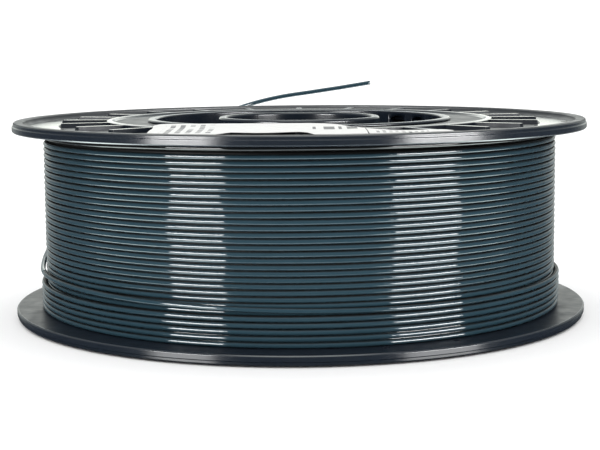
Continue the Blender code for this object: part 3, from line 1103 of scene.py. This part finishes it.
def add_panel(name, azimuth, half_angle, bottom, top, radiance):
    """An upright light panel that faces the spool and shows only in gloss.

    The azimuth is from the front towards +X, in degrees; the heights are in metres."""
    distance = 1.2
    angle = math.radians(azimuth)
    width = 2.0 * distance * math.tan(math.radians(half_angle))
    data = bpy.data.lights.new(name, "AREA")
    data.shape = "RECTANGLE"
    data.size = width
    data.size_y = top - bottom
    data.energy = radiance * math.pi * width * (top - bottom)
    light = bpy.data.objects.new(name, data)
    away = Vector((math.sin(angle), -math.cos(angle), 0.0))
    light.location = away * distance + Vector((0.0, 0.0, (bottom + top) / 2.0))
    light.rotation_euler = away.to_track_quat("Z", "Y").to_euler()
    light.visible_camera = False
    light.visible_diffuse = False
    bpy.context.scene.collection.objects.link(light)


def colour_ramp(nodes, links, value, stops):
    """A colour that follows a value through (place, colour) stops."""
    node = nodes.new("ShaderNodeValToRGB")
    elements = node.color_ramp.elements
    while len(elements) < len(stops):
        elements.new(0.5)
    for element, (place, colour) in zip(elements, stops):
        element.position = place
        element.color = (*colour, 1.0)
    links.new(value, node.inputs["Fac"])
    return node.outputs["Color"]


def make_world():
    """A white room for the eye and for soft light, and a darker studio for what the gloss shows."""
    world = bpy.data.worlds.new("studio")
    bpy.context.scene.world = world
    world.use_nodes = True
    nodes = world.node_tree.nodes
    links = world.node_tree.links
    background = nodes["Background"]
    direction = nodes.new("ShaderNodeTexCoord").outputs["Generated"]
    split = nodes.new("ShaderNodeSeparateXYZ")
    links.new(direction, split.inputs[0])
    aside = math_node(nodes, links, "ABSOLUTE", split.outputs["X"])
    along = split.outputs["Y"]
    above = split.outputs["Z"]
    # Behind the spool, dim in the middle, brightest a little to each side, and dim again beyond
    low_wall = colour_ramp(nodes, links, aside, (
        (0.0, (0.25, 0.28, 0.29)),
        (0.09, (0.35, 0.38, 0.39)),
        (0.14, (0.80, 0.84, 0.78)),
        (0.18, (0.42, 0.45, 0.44)),
        (0.45, (0.38, 0.41, 0.40)),
        (0.70, (0.10, 0.11, 0.12)),
        (1.0, (0.05, 0.06, 0.07)),
    ))
    high_wall = colour_ramp(nodes, links, aside, (
        (0.0, (0.50, 0.54, 0.55)),
        (0.09, (0.70, 0.75, 0.75)),
        (0.125, (2.30, 2.38, 2.20)),
        (0.165, (2.10, 2.18, 2.00)),
        (0.19, (0.90, 0.94, 0.89)),
        (0.45, (0.60, 0.64, 0.61)),
        (0.70, (0.15, 0.17, 0.17)),
        (1.0, (0.08, 0.10, 0.11)),
    ))
    over_edge = map_range(nodes, links, above, (-0.02, 0.03), (0.0, 1.0))
    back_wall = mix_colour(nodes, links, over_edge, low_wall, high_wall)
    raised = map_range(nodes, links, above, (0.08, 0.16), (0.0, 1.0))
    sky = colour_ramp(nodes, links, aside, (
        (0.20, (1.90, 1.97, 1.87)),
        (0.32, (0.85, 0.90, 0.86)),
        (0.55, (0.45, 0.48, 0.46)),
        (0.80, (0.18, 0.20, 0.20)),
    ))
    back_wall = mix_colour(nodes, links, raised, back_wall, sky)
    behind = map_range(nodes, links, along, (-0.1, 0.15), (0.0, 1.0))
    horizon = mix_colour(nodes, links, behind, (0.05, 0.065, 0.075), back_wall)
    overhead = map_range(nodes, links, above, (0.45, 0.85), (0.0, 1.0))
    upper = mix_colour(nodes, links, overhead, horizon, (0.45, 0.48, 0.49))
    straight_up = map_range(nodes, links, above, (0.93, 0.97), (0.0, 1.0))
    upper = mix_colour(nodes, links, straight_up, upper, (2.2, 2.3, 2.2))
    below = map_range(nodes, links, above, (-0.40, -0.50), (0.0, 1.0))
    lower = mix_colour(nodes, links, below, upper, (0.5, 0.58, 0.62))
    straight_down = map_range(nodes, links, above, (-0.76, -0.86), (0.0, 1.0))
    whole = mix_colour(nodes, links, straight_down, lower, (4.6, 5.3, 5.5))
    beside = map_range(nodes, links, aside, (0.42, 0.52), (0.0, 1.0))
    steep = map_range(nodes, links, above, (-0.52, -0.60), (0.0, 1.0))
    not_behind = map_range(nodes, links, along, (0.65, 0.50), (0.0, 1.0))
    sheen = math_node(nodes, links, "MULTIPLY", math_node(nodes, links, "MULTIPLY", beside, steep),
                      not_behind)
    whole = mix_colour(nodes, links, sheen, whole, (6.6, 7.4, 7.2))
    path = nodes.new("ShaderNodeLightPath")
    shown = mix_colour(nodes, links, path.outputs["Is Glossy Ray"], (DOME, DOME, DOME), whole)
    links.new(shown, background.inputs["Color"])
    background.inputs["Strength"].default_value = 1.0


def make_lights():
    """Two tall softboxes, the dimmer light at the foot of each, and the table's sheen under each."""
    for side, azimuth, half_angle in (("left", -44.0, 12.0), ("right", 54.0, 15.4)):
        add_panel("softbox_" + side, azimuth, half_angle, 0.08, 0.46, 34.0)
        add_panel("softbox_foot_" + side, azimuth, half_angle, -0.15, 0.07, 5.5)
        add_panel("table_edge_" + side, azimuth, half_angle, -0.40, -0.16, 3.2)
        add_panel("table_sheen_" + side, azimuth, half_angle, -1.20, -0.41, 1.8)


# ---------------------------------------------------------------- the scene

make_camera()
filament = make_filament("filament", False)
wound_filament = make_filament("filament_wound", True)
make_free_end(filament)
shaded_filament = make_shaded_filament()
make_wound_strand(wound_filament)
# The layer beneath and the inner layers wear the filament with painted shade
make_layer_beneath(shaded_filament)
make_inner_layers(shaded_filament)
make_first_end(filament)
plastic = make_plastic("spool_plastic", 0.17, 0.000001)
textured = make_plastic("spool_plastic_textured", 0.50, 0.000006)
matt = make_plastic("spool_plastic_matt", 0.40, 0.000004, 0.08)
satin = make_plastic("spool_plastic_satin", 0.20, 0.0000005, 0.25)
finishes = (plastic, textured, matt)
make_flange("upper_flange_moulding", "upper_flange", True, UPPER_HOLE_ANGLES, finishes)
make_flange("lower_flange_moulding", "lower_flange", False, LOWER_HOLE_ANGLES, finishes)
make_barrel(satin)
make_hub_half("hub_moulding_upper", "hub_upper_half", height_upper, False, satin)
make_hub_half("hub_moulding_lower", "hub_lower_half", height_lower, True, satin)
make_labels()
make_floor()
make_contact_shade(matt)
make_world()
make_lights()
bpy.context.scene.view_settings.view_transform = "Standard"
